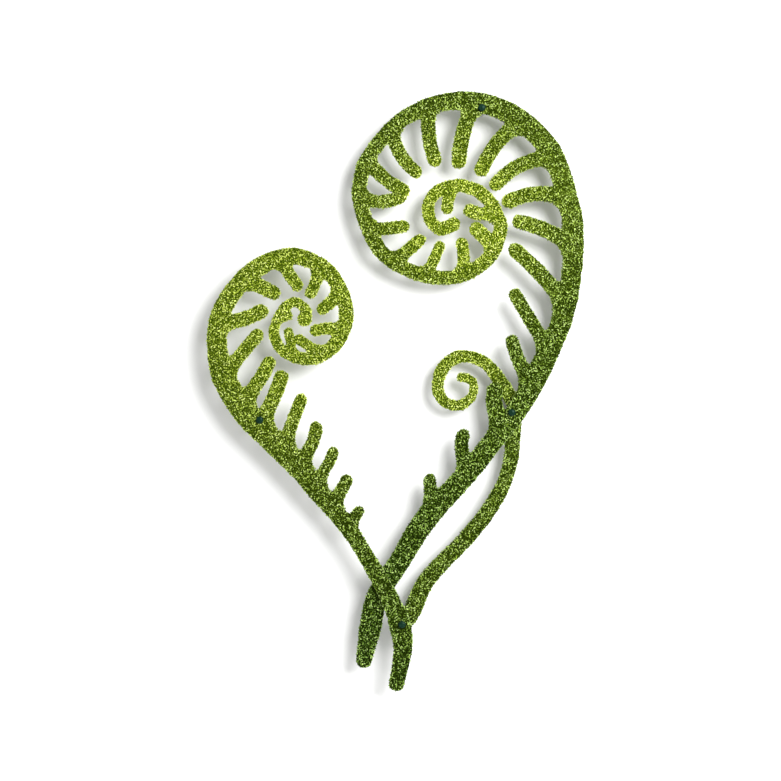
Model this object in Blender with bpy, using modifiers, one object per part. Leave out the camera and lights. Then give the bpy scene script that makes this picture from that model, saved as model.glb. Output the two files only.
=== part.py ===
"""Wall sculpture of three fiddleheads, the curled young fronds of a fern.

Each frond is one flat plate: a tapering stem that winds into a coil, with blunt leaflets on its inner
side. The plates lie in three layers, pinned by four round-headed screws to stand-off barrels on the wall.
The drawing is laid out in millimetres, x across and z up from the foot of the left frond's stem. In the
model +Z is up, the front faces -Y, the wall is the plane y = 0, and the origin is the top barrel's back.
"""

import math

import bmesh
import bpy

MM = 0.001

# Layers, as distances in front of the wall
PLATE_THICKNESS = 4.0 * MM
GAP = 0.3 * MM
CURL_BACK = 10.3 * MM
TALL_BACK = CURL_BACK + PLATE_THICKNESS + GAP
LEFT_BACK = TALL_BACK + PLATE_THICKNESS + GAP

# Screws and what they stand on
HEAD_DIAMETER = 5.6 * MM
HEAD_HEIGHT = 1.8 * MM
SHANK_DIAMETER = 2.6 * MM
HOLE_DIAMETER = 3.2 * MM
BARREL_DIAMETER = 6.4 * MM
BORE_DEPTH = 7.0 * MM
BORE_CLEARANCE = 1.0 * MM
EDGE_CHAMFER = 0.5 * MM
HEAD_RIM = 0.35 * MM
HEAD_ARC_STEPS = 5
TURN_STEPS = 28

# Fixings in the drawing, in millimetres
FIXINGS = {
    "top": (63.0, 437.0),
    "left": (-103.5, 202.5),
    "middle": (85.5, 208.0),
    "bottom": (3.0, 49.5),
}

# Outline resolution
STEPS_PER_STATION = 5
LEAFLET_STEPS = 5
TIP_STEPS = 8

# Leaflets: width of the neck as a share of the tip's, size of the fillets where they leave the stem as a
# share of its width (on the side that faces the foot, and on the side that faces the coil's end), the
# places along a fillet where it is drawn, and how many stem points count as near
NECK_RATIO = 1.03
FOOT_SIDE_FILLET = 0.48
COIL_SIDE_FILLET = 0.16
FILLET_PLACES = (0.0, 0.06, 0.25, 0.55, 1.0)
NEAR_POINTS = 8
EXIT_SEARCHES = 16
LEAFLET_INSET = 0.1 * MM


def polar_station(centre, angle, radius, width):
    """A stem station given from the middle of its coil, the angle in degrees anticlockwise from +X."""
    turn = math.radians(angle)
    return (centre[0] + radius * math.cos(turn), centre[1] + radius * math.sin(turn), width)


# Stems: stations as (x, z, width) from the foot up, then round the coil as (angle, radius, width)
TALL_FOOT = [
    (-25.5, 22.0, 12.5), (-20.8, 46.5, 16.5), (-14.8, 71.0, 16.5), (1.5, 96.5, 16.0),
    (18.5, 124.5, 17.2), (37.3, 146.2, 16.3), (54.8, 165.2, 15.8), (71.3, 186.6, 15.4),
    (89.6, 209.4, 15.6), (104.3, 235.0, 16.8), (116.5, 261.0, 16.0), (125.0, 283.5, 16.0),
]
TALL_CENTRE = (45.0, 364.0)
TALL_COIL = [
    (-30, 99.2, 15.5), (-15, 89.9, 16.0), (0, 84.0, 16.0), (30, 80.8, 16.0), (60, 79.4, 16.0),
    (90, 78.6, 14.2), (120, 77.0, 11.8), (150, 76.3, 11.0), (165, 75.7, 11.2), (180, 73.0, 11.5),
    (210, 67.7, 11.3), (240, 59.7, 11.0), (270, 53.7, 11.0), (300, 46.2, 11.0), (330, 37.0, 11.0),
    (345, 30.1, 10.8), (360, 25.8, 10.5), (390, 19.3, 10.3), (420, 15.4, 9.8), (450, 14.9, 9.6),
    (480, 15.9, 9.6), (510, 19.0, 9.5), (540, 22.3, 9.2), (570, 23.6, 9.4), (595, 22.0, 10.2),
    (617, 14.8, 11.0),
]
# Leaflets: (root x, root z, tip x, tip z, width, bow of the middle to the left of root to tip)
TALL_LEAFLETS = [
    (28, 140, 24.2, 157.5, 9.8, 1.5), (53, 167, 49, 190.5, 10.5, 3), (79.7, 196.5, 72.6, 224.5, 12.6, 3),
    (99, 232.5, 86, 261.5, 10.5, 1.5), (112, 257, 88.5, 296, 10.5, 0),
    (122, 295.5, 88.5, 330, 11.5, -1), (129, 335, 91.5, 351.5, 11.5, -2),
    (124.5, 370, 83.5, 366.7, 11.2, -4.2), (113, 400, 74, 380, 11, -4.3),
    (90, 425, 63, 391, 11.2, -3.2), (55.5, 438, 45.5, 397, 11.6, -1.5),
    (23, 435, 27.8, 398, 10.8, -2.2), (-4, 416, 13.3, 389, 10.2, -2.5), (-22, 396, 4, 375, 10.5, -1.7),
    (-27, 369.5, 1.5, 370, 10, -3.2), (-20, 346, 4, 348, 10, -0.5), (1, 324, 16.2, 337.5, 9.8, 0.2),
    (22.5, 313.5, 31.2, 333, 8.5, -0.2), (49, 313, 48, 335, 9.5, -1), (71, 334.5, 59, 346, 11, 0),
    (69, 359, 54, 360, 10, 2), (39, 375, 37, 362, 9.5, 0),
]

LEFT_FOOT = [
    (-1.0, 5.0, 11.5), (3.6, 30.0, 14.0), (1.6, 48.5, 16.4), (-3.0, 61.5, 14.5), (-11.2, 78.5, 12.8),
    (-21.5, 96.5, 12.2), (-32.5, 114.5, 12.2), (-45.5, 132.3, 13.8), (-58.5, 147.3, 15.3),
    (-71.5, 163.8, 16.0), (-81.8, 174.7, 17.2), (-98.4, 191.3, 18.4), (-113.4, 207.0, 18.4),
    (-124.4, 222.6, 18.4),
]
LEFT_CENTRE = (-77.0, 276.0)
LEFT_COIL = [
    (210, 65.3, 16.6), (180, 57.9, 14.4), (150, 51.2, 14.2), (120, 49.2, 14.0), (90, 49.2, 12.7),
    (60, 45.3, 12.0), (30, 41.0, 11.3), (0, 37.9, 11.3), (-30, 34.1, 11.3), (-60, 30.6, 10.8),
    (-90, 26.6, 8.9), (-120, 22.6, 8.4), (-150, 18.4, 7.9), (-180, 14.3, 7.3), (-210, 12.6, 7.6),
    (-240, 13.6, 7.6), (-270, 15.1, 7.6), (-300, 12.5, 8.0), (-322, 10.2, 9.4), (-345, 7.3, 11.2),
]
LEFT_LEAFLETS = [
    (-37, 125, -29.3, 134, 8.5, 0), (-49.3, 141.8, -38.7, 157, 9.8, -1),
    (-61.5, 156.2, -48.7, 178, 9, -1.2), (-75, 171.2, -61.3, 196.5, 10, -3),
    (-84.8, 184.3, -72.7, 217.5, 9.8, 0.3), (-102.8, 201.5, -87.3, 234.5, 11, -1.2),
    (-116.9, 216.2, -96.7, 245, 10.8, -1.5), (-127.2, 240.2, -105.5, 266, 10.2, 0),
    (-131, 275.6, -102.5, 283.8, 11.2, -1.8), (-114, 308, -93.3, 297.8, 11, 0),
    (-86, 322.5, -75.8, 303.5, 9.6, -1), (-57.5, 316, -65.5, 297.5, 9, 0),
    (-43, 297.5, -56.3, 285.7, 9.5, 0), (-43.5, 269.5, -62, 269.5, 9, -1.5),
    (-60, 253.5, -74.4, 262.8, 8.2, 0), (-79.5, 254.5, -82.2, 268.4, 7.2, 0),
    (-91, 279.5, -82.8, 281, 8, 0),
]

CURL_FOOT = [
    (3.0, 40.5, 10.5), (5.0, 49.0, 12.0), (10.0, 57.0, 13.6), (20.6, 79.5, 13.2), (32.8, 94.1, 12.6),
    (47.1, 108.3, 12.3), (62.7, 126.5, 12.3), (74.0, 143.0, 11.7), (81.4, 158.0, 11.1),
    (85.7, 174.9, 11.6), (86.5, 189.0, 11.8), (87.8, 200.0, 11.2), (88.9, 209.5, 10.6),
    (83.8, 221.0, 11.0),
]
CURL_CENTRE = (46.5, 231.0)
CURL_COIL = [
    (0, 31.0, 11.0), (30, 25.0, 9.6), (60, 21.2, 9.4), (90, 19.4, 9.6), (120, 17.1, 10.0),
    (150, 16.0, 10.0), (180, 16.1, 9.4), (210, 17.8, 9.2), (240, 18.6, 8.4), (270, 17.5, 8.6),
    (300, 15.2, 7.4), (330, 12.5, 6.8), (360, 9.8, 7.0), (395, 5.6, 7.2), (425, 3.8, 7.4),
]


def remove_old_objects():
    for old in list(bpy.data.objects):
        bpy.data.objects.remove(old, do_unlink=True)


def new_collection(name):
    collection = bpy.data.collections.new(name)
    bpy.context.scene.collection.children.link(collection)
    return collection


def new_material(name, colour, roughness, metallic=0.0):
    material = bpy.data.materials.new(name)
    material.use_nodes = True
    shader = material.node_tree.nodes["Principled BSDF"]
    shader.inputs["Base Color"].default_value = (*colour, 1.0)
    shader.inputs["Roughness"].default_value = roughness
    shader.inputs["Metallic"].default_value = metallic
    return material


def smooth_stations(stations, steps):
    """Points along a Catmull-Rom curve through the stations; every value of a station is blended alike."""
    padded = [stations[0]] + stations + [stations[-1]]
    points = []
    for i in range(1, len(padded) - 2):
        before, start, end, after = padded[i - 1:i + 3]
        for step in range(steps):
            t = step / steps
            point = []
            for p0, p1, p2, p3 in zip(before, start, end, after):
                slope = p2 - p0
                bend = 2 * p0 - 5 * p1 + 4 * p2 - p3
                twist = 3 * p1 - p0 - 3 * p2 + p3
                point.append(0.5 * (2 * p1 + slope * t + bend * t ** 2 + twist * t ** 3))
            points.append(tuple(point))
    points.append(stations[-1])
    return points


def directions(points):
    """Unit direction of travel at each point."""
    result = []
    for i in range(len(points)):
        ahead = points[min(i + 1, len(points) - 1)]
        behind = points[max(i - 1, 0)]
        dx = ahead[0] - behind[0]
        dz = ahead[1] - behind[1]
        length = math.hypot(dx, dz)
        result.append((dx / length, dz / length))
    return result


def round_end(centre, direction, radius):
    """Half circle about a line's end, from its right side over the end to its left side."""
    heading = math.atan2(direction[1], direction[0])
    points = []
    for step in range(1, TIP_STEPS):
        turn = heading - math.pi / 2 + math.pi * step / TIP_STEPS
        points.append((centre[0] + radius * math.cos(turn), centre[1] + radius * math.sin(turn)))
    return points


def band_outline(points):
    """Closed outline of a band along (x, z, width) points, with round ends."""
    headings = directions(points)
    right_side = []
    left_side = []
    for (x, z, width), (dx, dz) in zip(points, headings):
        right_side.append((x + dz * width / 2, z - dx * width / 2))
        left_side.append((x - dz * width / 2, z + dx * width / 2))
    far_end = round_end(points[-1], headings[-1], points[-1][2] / 2)
    near_end = round_end(points[0], (-headings[0][0], -headings[0][1]), points[0][2] / 2)
    return right_side + far_end + left_side[::-1] + near_end


def edge_distance(stem_band, x, z):
    """Distance from a stem's edge to a point, negative inside the stem."""
    nearest = math.inf
    for (x0, z0, width0), (x1, z1, width1) in zip(stem_band, stem_band[1:]):
        dx = x1 - x0
        dz = z1 - z0
        share = ((x - x0) * dx + (z - z0) * dz) / (dx * dx + dz * dz)
        share = min(1.0, max(0.0, share))
        half_width = (width0 + (width1 - width0) * share) / 2
        nearest = min(nearest, math.hypot(x - x0 - dx * share, z - z0 - dz * share) - half_width)
    return nearest


def halving_search(low, high, is_short):
    """The value between low and high where is_short stops being true."""
    for _ in range(EXIT_SEARCHES):
        middle = (low + high) / 2
        if is_short(middle):
            low = middle
        else:
            high = middle
    return high


def leaflet_outline(stem_band, root_x, root_z, tip_x, tip_z, width, bend):
    """Outline of a leaflet from the middle of its stem to a round tip, with a fillet on each side."""
    root = min(range(len(stem_band)), key=lambda i: math.dist(stem_band[i][:2], (root_x, root_z)))
    near = stem_band[max(root - NEAR_POINTS, 0):root + NEAR_POINTS + 1]
    along = directions(stem_band)[root]
    length = math.hypot(tip_x - root_x, tip_z - root_z)
    ahead = ((tip_x - root_x) / length, (tip_z - root_z) / length)

    def heading(t):
        slope = 4 * (1 - 2 * t) * bend / length
        size = math.hypot(1, slope)
        return ((ahead[0] - ahead[1] * slope) / size, (ahead[1] + ahead[0] * slope) / size)

    def side_point(hand, t):
        """Point on the right (-1) or left (1) side, t from 0 at the root to 1 at the tip."""
        bow = 4 * t * (1 - t) * bend
        reach = hand * width / 2 * (NECK_RATIO + (1 - NECK_RATIO) * t)
        dx, dz = heading(t)
        x = root_x + ahead[0] * length * t - ahead[1] * bow - dz * reach
        z = root_z + ahead[1] * length * t + ahead[0] * bow + dx * reach
        return (x, z)

    sides = []
    for hand in (-1, 1):
        outward = math.copysign(1.0, hand * (ahead[0] * along[1] - ahead[1] * along[0]))
        fillet = stem_band[root][2] * (COIL_SIDE_FILLET if outward > 0 else FOOT_SIDE_FILLET)
        leaving = halving_search(0.0, 1.0, lambda t: edge_distance(near, *side_point(hand, t)) < 0)
        clear = halving_search(leaving, 1.0, lambda t: edge_distance(near, *side_point(hand, t)) < fillet)
        places = {1.0}
        places.update(round(leaving + (clear - leaving) * share, 3) for share in FILLET_PLACES)
        places.update(round(clear + (1 - clear) * step / LEAFLET_STEPS, 3) for step in range(LEAFLET_STEPS))
        side = []
        for t in sorted(places):
            rise = min(1.0, max(0.0, (t - leaving) / max(clear - leaving, 0.001)))
            swell = outward * fillet * (1 - math.sqrt(1 - (1 - rise) ** 2))
            x, z = side_point(hand, t)
            side.append((x + along[0] * swell, z + along[1] * swell))
        sides.append(side)
    right_side, left_side = sides
    tip = round_end((tip_x, tip_z), heading(1), width / 2)
    return [stem_band[root][:2]] + right_side + tip + left_side[::-1]


def plate_from_outline(name, outline, back, thickness, collection):
    """Flat closed mesh of an outline in the drawing, its back at the given distance in front of the wall."""
    curve = bpy.data.curves.new(name, "CURVE")
    curve.dimensions = "2D"
    curve.fill_mode = "BOTH"
    curve.extrude = thickness / 2
    spline = curve.splines.new("POLY")
    spline.points.add(len(outline) - 1)
    for point, (x, z) in zip(spline.points, outline):
        point.co = (x * MM, z * MM, 0.0, 1.0)
    spline.use_cyclic_u = True
    guide = bpy.data.objects.new(name + "_outline", curve)
    guide.location = drawing_place(0.0, 0.0, back + thickness / 2)
    guide.rotation_euler = (math.pi / 2, 0.0, 0.0)
    collection.objects.link(guide)
    bpy.context.view_layer.update()
    evaluated = guide.evaluated_get(bpy.context.evaluated_depsgraph_get())
    mesh = bpy.data.meshes.new_from_object(evaluated)
    weld(mesh)
    plate = bpy.data.objects.new(name, mesh)
    plate.matrix_world = guide.matrix_world.copy()
    collection.objects.link(plate)
    bpy.data.objects.remove(guide, do_unlink=True)
    return plate


def weld(mesh):
    """Join a filled curve's loose caps to its walls."""
    shape = bmesh.new()
    shape.from_mesh(mesh)
    bmesh.ops.remove_doubles(shape, verts=shape.verts, dist=0.00001)
    bmesh.ops.recalc_face_normals(shape, faces=shape.faces)
    shape.to_mesh(mesh)
    shape.free()


def drawing_place(x, z, forward):
    """World place of a point of the drawing, at a distance in front of the wall."""
    origin_x, origin_z = FIXINGS["top"]
    return ((x - origin_x) * MM, -forward, (z - origin_z) * MM)


def hide_helper(helper):
    helper.hide_render = True
    helper.display_type = "WIRE"


def combine(target, helpers, operation):
    """Join a whole collection of helpers to the target, or cut them from it."""
    modifier = target.modifiers.new(operation.lower(), "BOOLEAN")
    modifier.operation = operation
    modifier.operand_type = "COLLECTION"
    modifier.collection = helpers
    modifier.solver = "EXACT"


def screw_hole(name, fixing, collection):
    """Cutter for one screw hole, long enough to pass every layer."""
    x, z = FIXINGS[fixing]
    reach = LEFT_BACK + PLATE_THICKNESS
    bpy.ops.mesh.primitive_cylinder_add(
        vertices=TURN_STEPS,
        radius=HOLE_DIAMETER / 2,
        depth=2 * reach,
        location=drawing_place(x, z, reach),
        rotation=(math.pi / 2, 0.0, 0.0),
    )
    cutter = bpy.context.object
    cutter.name = name
    for owner in list(cutter.users_collection):
        owner.objects.unlink(cutter)
    collection.objects.link(cutter)
    hide_helper(cutter)


def frond(name, foot, centre, coil, leaflets, fixings, back, parts, helpers, material):
    """One frond: the stem's band, its leaflets joined on, and its screw holes cut."""
    stations = list(foot)
    for angle, radius, width in coil:
        stations.append(polar_station(centre, angle, radius, width))
    stem_band = smooth_stations(stations, STEPS_PER_STATION)
    plate = plate_from_outline(name, band_outline(stem_band), back, PLATE_THICKNESS, parts)
    plate.data.materials.append(material)

    if leaflets:
        joined = bpy.data.collections.new(name + "_leaflets")
        helpers.children.link(joined)
        for number, leaflet in enumerate(leaflets, 1):
            outline = leaflet_outline(stem_band, *leaflet)
            leaflet_name = f"{name}_leaflet_{number}"
            inner = PLATE_THICKNESS - 2 * LEAFLET_INSET
            helper = plate_from_outline(leaflet_name, outline, back + LEAFLET_INSET, inner, joined)
            helper.data.materials.append(material)
            hide_helper(helper)
        combine(plate, joined, "UNION")

    holes = bpy.data.collections.new(name + "_holes")
    helpers.children.link(holes)
    for fixing in fixings:
        screw_hole(f"{name}_hole_{fixing}", fixing, holes)
    combine(plate, holes, "DIFFERENCE")


def turned_piece(name, profile, fixing, forward, closed, collection, material):
    """Solid of revolution about a fixing's axis, from (radius, height) points, height away from the wall."""
    mesh = bpy.data.meshes.new(name)
    edges = [(i, i + 1) for i in range(len(profile) - 1)]
    if closed:
        edges.append((len(profile) - 1, 0))
    mesh.from_pydata([(radius, 0.0, height) for radius, height in profile], edges, [])
    mesh.materials.append(material)
    piece = bpy.data.objects.new(name, mesh)
    x, z = FIXINGS[fixing]
    piece.location = drawing_place(x, z, forward)
    piece.rotation_euler = (math.pi / 2, 0.0, 0.0)
    collection.objects.link(piece)
    turn = piece.modifiers.new("turn", "SCREW")
    turn.steps = TURN_STEPS
    turn.render_steps = TURN_STEPS
    turn.use_merge_vertices = True
    turn.merge_threshold = 0.00001
    turn.use_smooth_shade = True


def screw(fixing, front, barrel_front, collection, material):
    """Round-headed screw just off a plate's front face, its shank ending inside the barrel's bore."""
    head = HEAD_DIAMETER / 2
    shank = SHANK_DIAMETER / 2
    seat = front + GAP
    tip = barrel_front - BORE_DEPTH + BORE_CLEARANCE - seat
    profile = [(0.0, HEAD_HEIGHT)]
    for step in range(1, HEAD_ARC_STEPS + 1):
        turn = math.pi / 2 * step / HEAD_ARC_STEPS
        profile.append((head * math.sin(turn), HEAD_RIM + (HEAD_HEIGHT - HEAD_RIM) * math.cos(turn)))
    profile += [(head, 0.0), (shank, 0.0), (shank, tip), (0.0, tip)]
    turned_piece("screw_" + fixing, profile, fixing, seat, False, collection, material)


def barrel(fixing, length, collection, material):
    """Stand-off barrel with a flat back on the wall and a blind bore in its front."""
    outer = BARREL_DIAMETER / 2
    bore = HOLE_DIAMETER / 2
    profile = [
        (0.0, length - BORE_DEPTH),
        (bore, length - BORE_DEPTH),
        (bore, length),
        (outer - EDGE_CHAMFER, length),
        (outer, length - EDGE_CHAMFER),
        (outer, 0.0),
        (0.0, 0.0),
    ]
    turned_piece("spacer_" + fixing, profile, fixing, 0.0, False, collection, material)


def washer(name, fixing, back, thickness, collection, material):
    """Plain ring that fills an empty layer between two plates."""
    outer = BARREL_DIAMETER / 2
    bore = HOLE_DIAMETER / 2
    profile = [
        (bore, thickness),
        (outer - EDGE_CHAMFER, thickness),
        (outer, thickness - EDGE_CHAMFER),
        (outer, EDGE_CHAMFER),
        (outer - EDGE_CHAMFER, 0.0),
        (bore, 0.0),
    ]
    turned_piece(name, profile, fixing, back, True, collection, material)


def build():
    remove_old_objects()
    parts = new_collection("fern_frond_wall_sculpture")
    helpers = new_collection("cutters")

    tall_glass = new_material("tall_glass", (0.22, 0.33, 0.06), 0.35)
    left_glass = new_material("left_glass", (0.28, 0.36, 0.08), 0.35)
    curl_glass = new_material("curl_glass", (0.33, 0.42, 0.09), 0.35)
    dark_gloss = new_material("dark_gloss", (0.02, 0.06, 0.05), 0.12)
    plain_metal = new_material("plain_metal", (0.6, 0.6, 0.6), 0.35, 1.0)

    frond("tall_fiddlehead", TALL_FOOT, TALL_CENTRE, TALL_COIL, TALL_LEAFLETS,
          ("top", "middle"), TALL_BACK, parts, helpers, tall_glass)
    frond("left_fiddlehead", LEFT_FOOT, LEFT_CENTRE, LEFT_COIL, LEFT_LEAFLETS,
          ("left", "bottom"), LEFT_BACK, parts, helpers, left_glass)
    frond("small_curl", CURL_FOOT, CURL_CENTRE, CURL_COIL, (),
          ("middle", "bottom"), CURL_BACK, parts, helpers, curl_glass)

    # Each fixing: back of the plate that its barrel carries, and front of the plate that its head sits on
    tall_front = TALL_BACK + PLATE_THICKNESS
    left_front = LEFT_BACK + PLATE_THICKNESS
    stacks = {
        "top": (TALL_BACK, tall_front),
        "left": (LEFT_BACK, left_front),
        "middle": (CURL_BACK, tall_front),
        "bottom": (CURL_BACK, left_front),
    }
    for fixing, (back, front) in stacks.items():
        barrel_front = back - GAP
        barrel(fixing, barrel_front, parts, plain_metal)
        screw(fixing, front, barrel_front, parts, dark_gloss)
    empty_layer = CURL_BACK + PLATE_THICKNESS + GAP
    washer("layer_washer", "bottom", empty_layer, LEFT_BACK - GAP - empty_layer, parts, plain_metal)


build()
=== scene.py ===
import math

import bmesh
import bpy
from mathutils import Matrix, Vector


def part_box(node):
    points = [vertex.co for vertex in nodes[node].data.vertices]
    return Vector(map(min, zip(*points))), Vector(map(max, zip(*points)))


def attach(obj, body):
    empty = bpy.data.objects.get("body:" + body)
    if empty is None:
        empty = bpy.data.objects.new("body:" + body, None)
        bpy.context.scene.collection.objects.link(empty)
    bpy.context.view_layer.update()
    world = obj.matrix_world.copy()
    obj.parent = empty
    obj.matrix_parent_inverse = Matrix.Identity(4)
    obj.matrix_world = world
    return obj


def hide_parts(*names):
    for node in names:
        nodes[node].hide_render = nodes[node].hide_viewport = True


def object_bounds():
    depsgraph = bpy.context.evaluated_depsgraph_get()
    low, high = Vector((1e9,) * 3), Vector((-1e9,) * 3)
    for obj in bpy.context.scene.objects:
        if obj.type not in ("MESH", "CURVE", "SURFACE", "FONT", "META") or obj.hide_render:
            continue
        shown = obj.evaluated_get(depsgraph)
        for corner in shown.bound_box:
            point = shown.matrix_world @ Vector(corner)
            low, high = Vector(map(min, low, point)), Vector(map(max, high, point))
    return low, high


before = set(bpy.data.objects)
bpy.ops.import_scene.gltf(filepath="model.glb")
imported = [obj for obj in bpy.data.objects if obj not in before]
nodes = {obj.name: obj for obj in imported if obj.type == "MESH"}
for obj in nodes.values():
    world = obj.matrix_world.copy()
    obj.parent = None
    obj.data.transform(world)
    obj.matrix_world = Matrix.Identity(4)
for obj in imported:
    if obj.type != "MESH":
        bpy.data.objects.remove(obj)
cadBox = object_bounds()
print("frame loaded,", len(nodes), "nodes")


class Wire:
    # an output socket; arithmetic on it adds Math nodes to its tree
    def __init__(self, net, socket):
        self.net = net
        self.socket = socket

    def also(self, name):
        # another output of the same node
        return Wire(self.net, pickSocket(self.socket.node.outputs, name))

    def __add__(self, other):
        return self.net.math("ADD", self, other)

    def __radd__(self, other):
        return self.net.math("ADD", other, self)

    def __sub__(self, other):
        return self.net.math("SUBTRACT", self, other)

    def __rsub__(self, other):
        return self.net.math("SUBTRACT", other, self)

    def __mul__(self, other):
        return self.net.math("MULTIPLY", self, other)

    def __rmul__(self, other):
        return self.net.math("MULTIPLY", other, self)

    def __truediv__(self, other):
        return self.net.math("DIVIDE", self, other)

    def __rtruediv__(self, other):
        return self.net.math("DIVIDE", other, self)

    def __pow__(self, other):
        return self.net.math("POWER", self, other)

    def __rpow__(self, other):
        return self.net.math("POWER", other, self)

    # each of these two is the other's reflected form
    def __lt__(self, other):
        return self.net.math("LESS_THAN", self, other)

    def __gt__(self, other):
        return self.net.math("GREATER_THAN", self, other)


def pickSocket(sockets, key):
    # by place, or by name among the sockets in use
    if isinstance(key, int):
        return sockets[key]
    return next(s for s in sockets if s.name == key and s.enabled)


class Net:
    # a node tree that is being wired up
    def __init__(self, tree):
        self.tree = tree

    def add(self, kind, settings=None, values=None, out=0):
        # settings come first, then the values and links of its sockets
        node = self.tree.nodes.new(kind)
        for name, value in (settings or {}).items():
            if name == "stops":  # a ramp's colours, as (place, (r, g, b))
                ramp = node.color_ramp.elements
                while len(ramp) < len(value):
                    ramp.new(0.5)
                for stop, (place, colour) in zip(ramp, value):
                    stop.position = place
                    stop.color = (*colour, 1)
            else:
                setattr(node, name, value)
        for name, value in (values or {}).items():
            socket = pickSocket(node.inputs, name)
            if isinstance(value, Wire):
                self.tree.links.new(value.socket, socket)
            else:
                socket.default_value = value
        return Wire(self, pickSocket(node.outputs, out)) if node.outputs else node

    def math(self, operation, *values):
        return self.add("ShaderNodeMath", {"operation": operation}, dict(enumerate(values)))

    def vector(self, operation, *values, out="Vector"):
        return self.add("ShaderNodeVectorMath", {"operation": operation}, dict(enumerate(values)), out)

    def scaled(self, vector, amount):
        return self.add("ShaderNodeVectorMath", {"operation": "SCALE"},
                        {0: vector, "Scale": amount}, "Vector")

    def noise(self, scale, detail, place=None):
        where = {"Vector": place} if place else {}
        return self.add("ShaderNodeTexNoise", None, {**where, "Scale": scale, "Detail": detail}, "Fac")

    def chance(self, low, high, seed):
        # a random number for each point, or a random vector if the limits are triples
        kind = "FLOAT_VECTOR" if isinstance(high, tuple) else "FLOAT"
        return self.add("FunctionNodeRandomValue", {"data_type": kind},
                        {"Min": low, "Max": high, "Seed": seed}, "Value")

    def blend(self, share, first, second):
        # colours, by share of the second
        return self.add("ShaderNodeMix", {"data_type": "RGBA"},
                        {"Factor": share, "A": first, "B": second}, "Result")


def newMaterial(name):
    # an empty node material: its tree, and a Principled shader wired to the output
    material = bpy.data.materials.new(name)
    material.use_nodes = True
    material.node_tree.nodes.clear()
    net = Net(material.node_tree)
    output = net.add("ShaderNodeOutputMaterial")
    shader = material.node_tree.nodes.new("ShaderNodeBsdfPrincipled")
    material.node_tree.links.new(shader.outputs[0], output.inputs["Surface"])
    return material, net, shader


def wireShader(net, shader, fixed, varying):
    for name, value in fixed.items():
        shader.inputs[name].default_value = value
    for name, wire in varying.items():
        net.tree.links.new(wire.socket, shader.inputs[name])


def addToScene(name, data):
    thing = bpy.data.objects.new(name, data)
    bpy.context.scene.collection.objects.link(thing)
    return thing


glass = {
    "roughness": 0.16,
    "specular": 0.2,
    "sheenOfGlass": (0.62, 0.9, 0.03, 1),  # light on the glass comes back green
    "coat": 0.03,
    "coatRoughness": 0.08,
    "mottleScale": 1300.0,     # colour change inside a granule, per metre
    "patchScale": 90.0,        # slow change of tone along a frond
    "toneShare": 0.9,          # how much each granule's own tone counts
    "mottleShare": 1.3,
    "patchShare": 0.1,
    "paintedEdgeGlowShare": 0.22,          # granules on the edges are painted lighter, a painted glow standing in for light coming through the glass edge
    "toneShift": -0.005,
    # in both ramps the lowest, near-black stops are painted shade: the body between the granules has no
    # grainTone, reads 0 and takes them, so the gaps look shaded
    "stemTonesAndGapShade": [(0.0, (0.001, 0.004, 0.0001)), (0.3, (0.007, 0.024, 0.0006)), (0.55, (0.094, 0.172, 0.021)),
                  (0.8, (0.235, 0.370, 0.080)), (1.0, (0.39, 0.53, 0.185))],
    "coilTonesAndGapShade": [(0.0, (0.027, 0.052, 0.001)), (0.25, (0.138, 0.200, 0.008)), (0.5, (0.360, 0.455, 0.044)),
                  (0.8, (0.56, 0.65, 0.122)), (1.0, (0.70, 0.76, 0.25))],
}


def granuleGlass(name, coilMiddle, limeStops):
    # granular glass: painted shade in the gaps, where the body between the granules takes the darkest tones;
    # from green on the stem to lime towards the middle of the coil
    material, net, shader = newMaterial(name)
    place = net.add("ShaderNodeTexCoord", out="Object")
    flat = net.vector("MULTIPLY", place, (1.0, 0.0, 1.0))
    reach = net.vector("DISTANCE", flat, (coilMiddle[0], 0.0, coilMiddle[1]), out="Value")
    longest = limeStops[-1][0]  # in millimetres
    lime = net.add("ShaderNodeValToRGB",
                   {"stops": [(radius / longest, (share,) * 3) for radius, share in limeStops]},
                   {"Fac": reach / (longest * 0.001)})
    tone = net.add("ShaderNodeAttribute", {"attribute_name": "grainTone"}, out="Fac")
    rim = net.add("ShaderNodeAttribute", {"attribute_name": "grainRim"}, out="Fac")
    mottle = net.noise(glass["mottleScale"], 1.0, place)
    patch = net.noise(glass["patchScale"], 2.0, place)
    # the rim term adds a painted glow on the edge granules, standing in for light coming through the glass
    # edge
    level = (tone * glass["toneShare"] + (mottle - 0.5) * glass["mottleShare"]
             + (patch - 0.5) * glass["patchShare"] + rim * glass["paintedEdgeGlowShare"] + glass["toneShift"])
    stem = net.add("ShaderNodeValToRGB", {"stops": glass["stemTonesAndGapShade"]}, {"Fac": level})
    coil = net.add("ShaderNodeValToRGB", {"stops": glass["coilTonesAndGapShade"]}, {"Fac": level})
    wireShader(net, shader,
               {"Roughness": glass["roughness"], "Specular IOR Level": glass["specular"],
                "Specular Tint": glass["sheenOfGlass"], "Coat Weight": glass["coat"],
                "Coat Roughness": glass["coatRoughness"]},
               {"Base Color": net.blend(lime, stem, coil)})
    return material


# the tree's own inputs, in metres
grainSizes = {
    "Spacing": 0.00115,        # between granules on the front and sides
    "Back Spacing": 0.0024,
    "Grain": 0.00046,          # half the thickness of a middling granule
    "Sink": 0.0006,            # how far the body lies under the outline
    "Lift": 0.00028,           # most a granule stands over or under its neighbours
    "Unevenness": 0.0012,      # how far the body's edges wander
}

grainHabit = {
    "sides": 3,
    "length": 3.6,             # in halves of its thickness
    "cornerPush": (0.25, 0.25, 0.5),
    "lean": 28,                # most degrees off lying along the surface
    "roll": 25,
    "leastStretch": (0.75, 0.75, 0.6),
    "mostStretch": (1.15, 1.15, 1.25),
    "backGrowth": 1.5,         # how much bigger they are on the cast back
    "leastTone": 0.28,
    "crowding": 1500000.0,     # most granules on a square metre before the spacing thins them
    "facing": 0.7,             # a surface turned less than this to the back or front is an edge
    "wanderScale": 190.0,
    "backSeed": 50.0,
}


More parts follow.
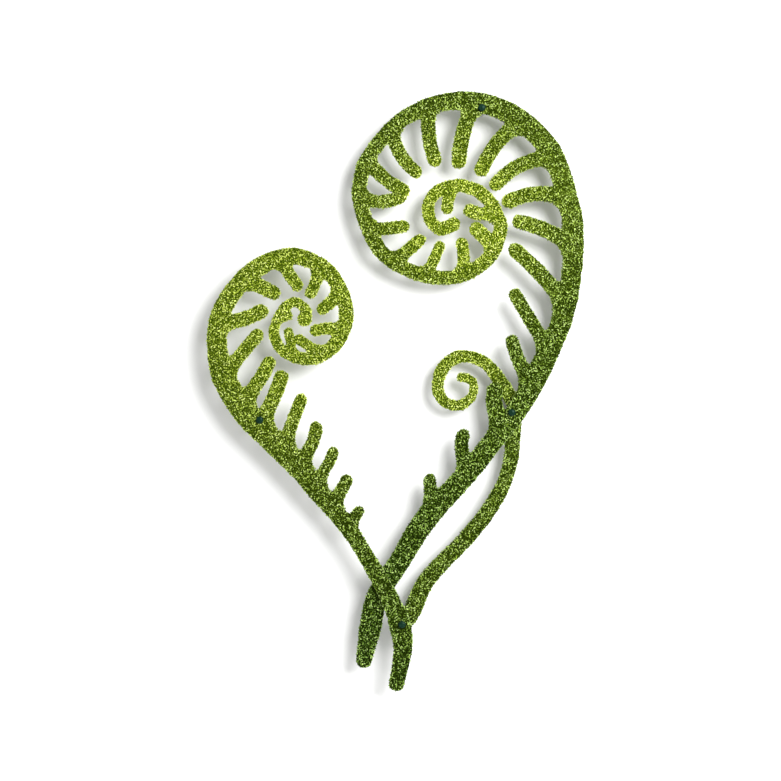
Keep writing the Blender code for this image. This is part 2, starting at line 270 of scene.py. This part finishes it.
def unevenBody(net, given):
    # the plate shrunk a little under its outline, its edges gently uneven
    wander = net.noise(grainHabit["wanderScale"], 1.0)
    outward = (wander - 0.5) * given.also("Unevenness") * 2.0 - given.also("Sink")
    offset = net.scaled(net.add("GeometryNodeInputNormal"), outward)
    return net.add("GeometryNodeSetPosition", None, {"Geometry": given, "Offset": offset})


def splinter(net):
    # a long three-sided splinter with its corners pushed about
    lump = net.add("GeometryNodeMeshCylinder", None,
                   {"Vertices": grainHabit["sides"], "Radius": 1.0, "Depth": grainHabit["length"]}, "Mesh")
    most = grainHabit["cornerPush"]
    push = net.chance(tuple(-part for part in most), most, 4)
    return net.add("GeometryNodeSetPosition", None, {"Geometry": lump, "Offset": push})


def coatOfGrains(net, given, body, lump, back, screwSpots, keepOff):
    # granules on the back, or on the front and the edges
    points = net.add("GeometryNodeDistributePointsOnFaces", {"distribute_method": "POISSON"},
                     {"Mesh": body, "Distance Min": given.also("Back Spacing" if back else "Spacing"),
                      "Density Max": grainHabit["crowding"],
                      "Seed": given.also("Seed") + (grainHabit["backSeed"] if back else 0.0)}, "Points")
    normal = points.also("Normal")
    aligned = points.also("Rotation")
    toBack = net.add("ShaderNodeSeparateXYZ", None, {"Vector": normal}, "Y")
    across = net.add("ShaderNodeSeparateXYZ", None, {"Vector": net.add("GeometryNodeInputPosition")}, "X")
    # the rim mark picks the granules on the edges, where the painted glow of light through the glass edge
    # goes
    marks = {"grainRim": net.math("ABSOLUTE", toBack) < grainHabit["facing"],
             "grainTone": net.chance(grainHabit["leastTone"], 1.0, 7 + back)}
    for name, mark in marks.items():
        points = net.add("GeometryNodeStoreNamedAttribute", {"data_type": "FLOAT", "domain": "POINT"},
                         {"Geometry": points, "Name": name, "Value": mark})
    # only this side's granules, and none under or round a screw head
    drop = (toBack < grainHabit["facing"]) if back else (toBack > grainHabit["facing"])
    for spotX, spotZ in screwSpots:
        gap = (across - spotX) ** 2 + (across.also("Z") - spotZ) ** 2
        drop = net.math("MAXIMUM", drop, gap < keepOff ** 2)
    points = net.add("GeometryNodeDeleteGeometry", {"domain": "POINT"},
                     {"Geometry": points, "Selection": drop})
    height = net.chance(given.also("Lift") * -1.0, given.also("Lift"), 9 + back)
    points = net.add("GeometryNodeSetPosition", None,
                     {"Geometry": points, "Offset": net.scaled(normal, height)})
    # each lies along the surface, more or less, pointing anywhere
    lean, roll = grainHabit["lean"], math.radians(grainHabit["roll"])
    lie = net.chance((math.radians(90 - lean), -roll, 0.0),
                     (math.radians(90 + lean), roll, 2 * math.pi), 2 + back)
    turn = net.add("FunctionNodeRotateRotation", {"rotation_space": "LOCAL"},
                   {"Rotation": aligned, "Rotate By": lie})
    stretch = net.chance(grainHabit["leastStretch"], grainHabit["mostStretch"], 5 + back)
    size = net.scaled(stretch, given.also("Grain") * (grainHabit["backGrowth"] if back else 1.0))
    return net.add("GeometryNodeInstanceOnPoints", None,
                   {"Points": points, "Instance": lump, "Rotation": turn, "Scale": size})


def heldFlat(net, given, real):
    # nothing stands behind the flat back, or far in front of the plate
    spot = net.add("ShaderNodeSeparateXYZ", None, {"Vector": net.add("GeometryNodeInputPosition")}, "X")
    depth = net.math("MINIMUM", net.math("MAXIMUM", spot.also("Y"), given.also("Front")), given.also("Back"))
    held = net.add("ShaderNodeCombineXYZ", None, {"X": spot, "Y": depth, "Z": spot.also("Z")})
    return net.add("GeometryNodeSetPosition", None, {"Geometry": real, "Position": held})


def granuleTree(screwSpots, keepOff):
    # a frond's body with granules scattered over it, flattened at the back where it was cast
    tree = bpy.data.node_groups.new("granule_coat", "GeometryNodeTree")
    face = tree.interface
    face.new_socket("Geometry", in_out="INPUT", socket_type="NodeSocketGeometry")
    face.new_socket("Geometry", in_out="OUTPUT", socket_type="NodeSocketGeometry")
    for name in [*grainSizes, "Front", "Back"]:
        face.new_socket(name, in_out="INPUT", socket_type="NodeSocketFloat")
    face.new_socket("Seed", in_out="INPUT", socket_type="NodeSocketInt")
    face.new_socket("Glass", in_out="INPUT", socket_type="NodeSocketMaterial")
    net = Net(tree)
    given = net.add("NodeGroupInput", out="Geometry")
    # the body gets no grainTone, so the glass paints it with the near-black painted shade of the gaps between
    # granules
    body = unevenBody(net, given)
    lump = splinter(net)
    coats = [coatOfGrains(net, given, body, lump, back, screwSpots, keepOff) for back in (False, True)]
    joined = net.add("GeometryNodeJoinGeometry")
    for coat in reversed([body, *coats]):
        tree.links.new(coat.socket, joined.socket.node.inputs[0])
    real = net.add("GeometryNodeRealizeInstances", None, {"Geometry": joined})
    held = heldFlat(net, given, real)
    shaded = net.add("GeometryNodeSetShadeSmooth", None, {"Geometry": held, "Shade Smooth": False})
    done = net.add("GeometryNodeSetMaterial", None, {"Geometry": shaded, "Material": given.also("Glass")})
    net.add("NodeGroupOutput", None, {"Geometry": done})
    return tree


def mergedCopy(name):
    # a closed mesh of a CAD node, whose own mesh is loose triangles
    shape = bmesh.new()
    shape.from_mesh(nodes[name].data)
    bmesh.ops.remove_doubles(shape, verts=shape.verts, dist=1e-6)
    mesh = bpy.data.meshes.new(name + "_body")
    shape.to_mesh(mesh)
    shape.free()
    return mesh


def inPlaceOf(node, piece):
    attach(piece, "root")
    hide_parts(node)


def granuleFrond(plan, tree, material):
    # the frond's body and granules as one plain mesh
    low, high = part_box(plan["node"])
    source = addToScene(plan["node"] + "_plan", mergedCopy(plan["node"]))
    coat = source.modifiers.new("granules", "NODES")
    coat.node_group = tree
    wanted = {**grainSizes, "Front": low.y - plan["proud"], "Back": high.y, "Seed": plan["seed"],
              "Glass": material}
    for item in tree.interface.items_tree:
        if item.in_out == "INPUT" and item.name in wanted:
            coat[item.identifier] = wanted[item.name]
    bpy.context.view_layer.update()
    seen = source.evaluated_get(bpy.context.evaluated_depsgraph_get())
    mesh = bpy.data.meshes.new_from_object(seen)
    mesh.name = plan["name"]
    bpy.data.objects.remove(source)
    inPlaceOf(plan["node"], addToScene(plan["name"], mesh))
    print(plan["name"], "granules set,", sum(len(p.vertices) - 2 for p in mesh.polygons), "triangles")


# coil is the middle of the coil, from the frond's own box: shares of its width and height.
# lime gives how lime the glass is at each distance from there, in millimetres.
# proud is how far the granules may stand in front of the plate
tallFrond = {
    "name": "tall_fiddlehead_glass", "node": "tall_fiddlehead", "slot": "tall_glass",
    "coil": (0.446, 0.786), "seed": 11, "proud": 0.00025,
    "lime": [(0, 1.0), (34, 1.0), (50, 0.55), (70, 0.42), (84, 0.26), (115, 0.15), (190, 0.08), (330, 0.0)],
}
leftFrond = {
    "name": "left_fiddlehead_glass", "node": "left_fiddlehead", "slot": "left_glass",
    "coil": (0.43, 0.833), "seed": 23, "proud": 0.0006,
    "lime": [(0, 1.0), (20, 0.98), (30, 0.88), (55, 0.8), (68, 0.62), (100, 0.36), (165, 0.17), (270, 0.04)],
}
smallCurl = {
    "name": "small_curl_glass", "node": "small_curl", "slot": "curl_glass",
    "coil": (0.51, 0.889), "seed": 37, "proud": 0.00025,
    "lime": [(0, 0.86), (18, 0.8), (24, 0.7), (34, 0.48), (60, 0.22), (170, 0.18)],
}

screwNames = ["screw_top", "screw_left", "screw_middle", "screw_bottom"]
spacerNames = ["spacer_top", "spacer_left", "spacer_middle", "spacer_bottom"]
tuck = 0.0002  # how far granules reach in under a head

headLow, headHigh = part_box("screw_top")
headRadius = (headHigh.x - headLow.x) / 2
screwSpots = []
for name in screwNames:
    low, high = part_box(name)
    screwSpots.append(((low.x + high.x) / 2, (low.z + high.z) / 2))
granules = granuleTree(screwSpots, headRadius - tuck)
for plan in (tallFrond, leftFrond, smallCurl):
    low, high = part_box(plan["node"])
    middle = (low.x + plan["coil"][0] * (high.x - low.x), low.z + plan["coil"][1] * (high.z - low.z))
    granuleFrond(plan, granules, granuleGlass(plan["slot"] + "_finish", middle, plan["lime"]))


gloss = {
    "deep": (0.002, 0.012, 0.006, 1),
    "light": (0.010, 0.036, 0.020, 1),
    "cloudScale": 700.0,
    "roughness": 0.12,
    "roughnessSpread": 0.2,
    "specular": 0.08,
    "tint": (0.5, 0.9, 0.7, 1),
    "coat": 0.03,
    "coatRoughness": 0.05,
}


def glossGreen():
    material, net, shader = newMaterial("screw_gloss_finish")
    cloud = net.noise(gloss["cloudScale"], 3.0, net.add("ShaderNodeTexCoord", out="Object"))
    wireShader(net, shader,
               {"Specular IOR Level": gloss["specular"], "Specular Tint": gloss["tint"],
                "Coat Weight": gloss["coat"], "Coat Roughness": gloss["coatRoughness"]},
               {"Base Color": net.blend(cloud, gloss["deep"], gloss["light"]),
                "Roughness": cloud * gloss["roughnessSpread"] + gloss["roughness"]})
    return material


satin = {
    "dark": (0.50, 0.51, 0.52, 1),
    "pale": (0.72, 0.72, 0.72, 1),
    "lineScale": (300.0, 6000.0, 300.0),   # fine turning lines round the axis
    "roughness": 0.22,
    "roughnessSpread": 0.25,
    "bumpStrength": 0.25,
    "bumpDepth": 0.00004,
}


def satinMetal():
    material, net, shader = newMaterial("spacer_metal_finish")
    place = net.add("ShaderNodeTexCoord", out="Object")
    lines = net.noise(1.0, 2.0, net.vector("MULTIPLY", place, satin["lineScale"]))
    bump = net.add("ShaderNodeBump", None,
                   {"Strength": satin["bumpStrength"], "Distance": satin["bumpDepth"], "Height": lines})
    wireShader(net, shader, {"Metallic": 1.0},
               {"Base Color": net.blend(lines, satin["dark"], satin["pale"]),
                "Roughness": lines * satin["roughnessSpread"] + satin["roughness"],
                "Normal": bump})
    return material


hardware = {
    "headHeight": 0.0018,
    "headRim": 0.12,       # straight rim of a head, as a share of its height
    "shankRadius": 0.0013,
    "boreRadius": 0.0016,
    "boreDepth": 0.007,
    "chamfer": 0.0005,
    "turnSteps": 64,
    "domeSteps": 10,
    "sharpAngle": 35,      # edges over this many degrees stay crisp
}


def turned(name, profile, axisX, axisZ, material):
    # profile: (radius, y) corners, closed on the axis or back at the first; turned round a line along Y
    shape = bmesh.new()
    corners = [shape.verts.new((radius, y, 0.0)) for radius, y in profile]
    for first, second in zip(corners, corners[1:]):
        shape.edges.new((first, second))
    bmesh.ops.spin(shape, geom=shape.verts[:] + shape.edges[:], axis=(0, 1, 0), cent=(0, 0, 0),
                   steps=hardware["turnSteps"], angle=2 * math.pi, use_merge=True)
    bmesh.ops.remove_doubles(shape, verts=shape.verts, dist=1e-7)
    bmesh.ops.recalc_face_normals(shape, faces=shape.faces)
    bmesh.ops.translate(shape, verts=shape.verts, vec=(axisX, 0.0, axisZ))
    mesh = bpy.data.meshes.new(name)
    shape.to_mesh(mesh)
    shape.free()
    mesh.shade_smooth()
    mesh.set_sharp_from_angle(angle=math.radians(hardware["sharpAngle"]))
    mesh.materials.append(material)
    return addToScene(name, mesh)


def turnedPiece(node, ending, profileOf, material):
    # a turned piece in the place of a CAD node
    low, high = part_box(node)
    middle = (low + high) / 2
    radius = (high.x - low.x) / 2
    piece = turned(node + ending, profileOf(radius, low.y, high.y), middle.x, middle.z, material)
    inPlaceOf(node, piece)


def screwProfile(radius, front, tip):
    rise = hardware["headHeight"] * (1 - hardware["headRim"])
    dome = []
    for step in range(hardware["domeSteps"] + 1):
        angle = math.pi / 2 * step / hardware["domeSteps"]
        dome.append((radius * math.sin(angle), front + rise * (1 - math.cos(angle))))
    under = front + hardware["headHeight"]
    shank = hardware["shankRadius"]
    return dome + [(radius, under), (shank, under), (shank, tip - shank / 2), (shank / 2, tip), (0.0, tip)]


def barrelProfile(radius, front, wall):
    bore, floor, cut = hardware["boreRadius"], front + hardware["boreDepth"], hardware["chamfer"]
    return [(0.0, floor), (bore, floor), (bore, front), (radius - cut, front), (radius, front + cut),
            (radius, wall), (0.0, wall)]


def washerProfile(radius, front, rear):
    bore, cut = hardware["boreRadius"], hardware["chamfer"]
    return [(bore, front), (radius - cut, front), (radius, front + cut), (radius, rear - cut),
            (radius - cut, rear), (bore, rear), (bore, front)]


darkGreen = glossGreen()
metal = satinMetal()
for name in screwNames:
    turnedPiece(name, "_round_head", screwProfile, darkGreen)
for name in spacerNames:
    turnedPiece(name, "_barrel", barrelProfile, metal)
turnedPiece("layer_washer", "_ring", washerProfile, metal)
print("screws, barrels and washer turned")


stage = {
    "distance": 1.10,          # camera to wall
    "viewWidth": 0.586,        # width seen at the fronds
    "frondDepth": 0.0195,      # the fronds' middle, in front of the wall
    "aim": (-0.0686, -0.2124),  # x and z at the middle of the view
    "wallSize": 4.0,
    "floorDrop": 0.35,         # floor below the foot
    "wallGap": 0.0003,
    "wallColour": (0.9, 0.9, 0.9, 1),
    "wallRoughness": 0.9,
    "wallSpecular": 0.1,
    "floorColour": (0.8, 0.8, 0.79, 1),
    "floorRoughness": 0.8,
    "keyWay": (0.69, -1.0, 0.47),  # from the fronds to the key light
    "keyDistance": 1.3,
    "keyWidth": 0.85,
    "keyPower": 25.0,
    "skyStrength": 0.60,
}


def plane(name, corners, material):
    mesh = bpy.data.meshes.new(name)
    mesh.from_pydata(corners, [], [(0, 1, 2, 3)])
    mesh.materials.append(material)
    addToScene(name, mesh)


def wallPaint():
    # matt white; from behind it isn't there, so the back of the fronds can be seen
    material, net, shader = newMaterial("wall_paint")
    wireShader(net, shader, {"Base Color": stage["wallColour"], "Roughness": stage["wallRoughness"],
                             "Specular IOR Level": stage["wallSpecular"]}, {})
    behind = net.add("ShaderNodeNewGeometry", out="Backfacing")
    clear = net.add("ShaderNodeBsdfTransparent")
    mix = net.add("ShaderNodeMixShader", None, {0: behind, 1: Wire(net, shader.outputs[0]), 2: clear})
    output = next(n for n in material.node_tree.nodes if n.type == "OUTPUT_MATERIAL")
    material.node_tree.links.new(mix.socket, output.inputs["Surface"])
    return material


def floorPaint():
    material, net, shader = newMaterial("floor_paint")
    wireShader(net, shader, {"Base Color": stage["floorColour"], "Roughness": stage["floorRoughness"]}, {})
    return material


lowest, highest = Vector(cadBox[0]), Vector(cadBox[1])
half = stage["wallSize"] / 2
midX = (lowest.x + highest.x) / 2
left, right = midX - half, midX + half
wallY = highest.y + stage["wallGap"]
nearY, farY = wallY - stage["wallSize"], wallY + half
floorZ = lowest.z - stage["floorDrop"]
topZ = floorZ + stage["wallSize"]
plane("wall", [(left, wallY, floorZ), (right, wallY, floorZ), (right, wallY, topZ), (left, wallY, topZ)],
      wallPaint())
plane("floor", [(left, nearY, floorZ), (right, nearY, floorZ), (right, farY, floorZ), (left, farY, floorZ)],
      floorPaint())

aim = Vector((stage["aim"][0], wallY, stage["aim"][1]))
way = Vector(stage["keyWay"]).normalized()
key = bpy.data.lights.new("key", "AREA")
key.shape = "DISK"
key.size = stage["keyWidth"]
key.energy = stage["keyPower"]
keyLamp = addToScene("key", key)
keyLamp.location = aim + way * stage["keyDistance"]
keyLamp.rotation_euler = way.to_track_quat("Z", "Y").to_euler()

world = bpy.data.worlds.new("studio")
world.use_nodes = True
sky = world.node_tree.nodes["Background"]
sky.inputs["Color"].default_value = (1, 1, 1, 1)
sky.inputs["Strength"].default_value = stage["skyStrength"]
bpy.context.scene.world = world

camera = bpy.data.cameras.new("camera")
camera.sensor_width = 36.0
camera.lens = camera.sensor_width * (stage["distance"] - stage["frondDepth"]) / stage["viewWidth"]
cameraRig = addToScene("camera", camera)
cameraRig.location = (aim.x, -stage["distance"], aim.z)
cameraRig.rotation_euler = (math.radians(90), 0, 0)
bpy.context.scene.camera = cameraRig
bpy.context.scene.view_settings.view_transform = "Standard"
print("wall, light and camera set")
